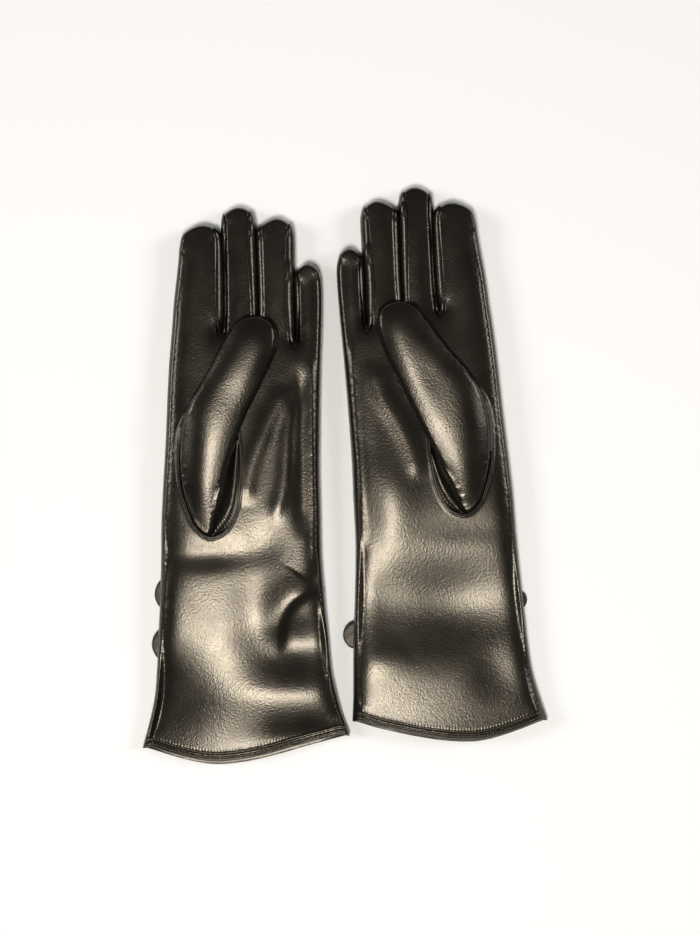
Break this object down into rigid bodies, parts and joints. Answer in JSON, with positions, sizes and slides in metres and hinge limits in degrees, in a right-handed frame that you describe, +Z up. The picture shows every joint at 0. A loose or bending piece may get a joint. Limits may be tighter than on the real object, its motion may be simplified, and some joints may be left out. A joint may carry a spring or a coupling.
{
  "type": "leather gloves",
  "caption": "Pair of long black leather dress gloves lying palm up, thumbs folded over the palms, with flared hemmed cuffs and a flat bow on the back of each wrist.",
  "frame": {"origin": "on the tabletop, under the middle of the pair's bounding box", "axes": "+X from the left-hand glove to the right-hand glove, +Y from the hems to the fingertips, +Z up through the palms"},
  "size_m": [0.236, 0.3297, 0.026],
  "materials": {
    "nappa": "glazed smooth nappa",
    "nappa_welt": "folded nappa edge",
    "nappa_facing": "turned-in nappa",
    "bow": "glazed smooth nappa",
    "thread": "waxed thread",
    "lining": "fine silk knit"
  },
  "bodies": {
    "left_hand": {"left_palm_panel": "nappa", "left_back_panel": "nappa", "left_fourchette_roots": "nappa", "left_thumb_welt": "nappa_welt", "left_cuff_facing": "nappa_facing", "left_hem_stitching": "thread", "left_side_seam": "thread", "left_hand_lining": "lining", "left_bow_loops": "bow", "left_bow_tails": "bow", "left_bow_knot": "bow"},
    "left_index": {"left_index_front": "nappa", "left_index_back": "nappa", "left_index_fourchettes": "nappa", "left_index_lining": "lining"},
    "left_middle": {"left_middle_front": "nappa", "left_middle_back": "nappa", "left_middle_fourchettes": "nappa", "left_middle_lining": "lining"},
    "left_ring": {"left_ring_front": "nappa", "left_ring_back": "nappa", "left_ring_fourchettes": "nappa", "left_ring_lining": "lining"},
    "left_little": {"left_little_front": "nappa", "left_little_back": "nappa", "left_little_fourchettes": "nappa", "left_little_lining": "lining"},
    "left_thumb": {"left_thumb_leather": "nappa", "left_thumb_lining": "lining"},
    "right_hand": {"right_palm_panel": "nappa", "right_back_panel": "nappa", "right_fourchette_roots": "nappa", "right_thumb_welt": "nappa_welt", "right_cuff_facing": "nappa_facing", "right_hem_stitching": "thread", "right_side_seam": "thread", "right_hand_lining": "lining", "right_bow_loops": "bow", "right_bow_tails": "bow", "right_bow_knot": "bow"},
    "right_index": {"right_index_front": "nappa", "right_index_back": "nappa", "right_index_fourchettes": "nappa", "right_index_lining": "lining"},
    "right_middle": {"right_middle_front": "nappa", "right_middle_back": "nappa", "right_middle_fourchettes": "nappa", "right_middle_lining": "lining"},
    "right_ring": {"right_ring_front": "nappa", "right_ring_back": "nappa", "right_ring_fourchettes": "nappa", "right_ring_lining": "lining"},
    "right_little": {"right_little_front": "nappa", "right_little_back": "nappa", "right_little_fourchettes": "nappa", "right_little_lining": "lining"},
    "right_thumb": {"right_thumb_leather": "nappa", "right_thumb_lining": "lining"}
  },
  "joints": [
    {"name": "left_index_bend", "type": "hinge", "parent": "left_hand", "child": "left_index", "pos_m": [-0.07637, 0.09925, 0.0133], "axis": [0.9976, -0.0698, 0], "range_deg": [0, 80]},
    {"name": "left_middle_bend", "type": "hinge", "parent": "left_hand", "child": "left_middle", "pos_m": [-0.05239, 0.10325, 0.0133], "axis": [0.9976, -0.0698, 0], "range_deg": [0, 80]},
    {"name": "left_ring_bend", "type": "hinge", "parent": "left_hand", "child": "left_ring", "pos_m": [-0.0324, 0.10025, 0.0133], "axis": [0.9976, -0.0698, 0], "range_deg": [0, 80]},
    {"name": "left_little_bend", "type": "hinge", "parent": "left_hand", "child": "left_little", "pos_m": [-0.01387, 0.08925, 0.0133], "axis": [0.9976, -0.0698, 0], "range_deg": [0, 80]},
    {"name": "left_thumb_unfold", "type": "hinge", "parent": "left_hand", "child": "left_thumb", "pos_m": [-0.09015, 0.01525, 0.01435], "axis": [0, -1, 0], "range_deg": [0, 60]},
    {"name": "right_index_bend", "type": "hinge", "parent": "right_hand", "child": "right_index", "pos_m": [0.07637, 0.10725, 0.0133], "axis": [0.9976, 0.0698, 0], "range_deg": [0, 80]},
    {"name": "right_middle_bend", "type": "hinge", "parent": "right_hand", "child": "right_middle", "pos_m": [0.05239, 0.11125, 0.0133], "axis": [0.9976, 0.0698, 0], "range_deg": [0, 80]},
    {"name": "right_ring_bend", "type": "hinge", "parent": "right_hand", "child": "right_ring", "pos_m": [0.0324, 0.10825, 0.0133], "axis": [0.9976, 0.0698, 0], "range_deg": [0, 80]},
    {"name": "right_little_bend", "type": "hinge", "parent": "right_hand", "child": "right_little", "pos_m": [0.01387, 0.09725, 0.0133], "axis": [0.9976, 0.0698, 0], "range_deg": [0, 80]},
    {"name": "right_thumb_unfold", "type": "hinge", "parent": "right_hand", "child": "right_thumb", "pos_m": [0.09015, 0.02325, 0.01435], "axis": [0, 1, 0], "range_deg": [0, 60]},
    {"name": "pair_spread", "type": "slide", "parent": "left_hand", "child": "right_hand", "axis": [1, 0, 0], "range_m": [0, 0.15]}
  ]
}
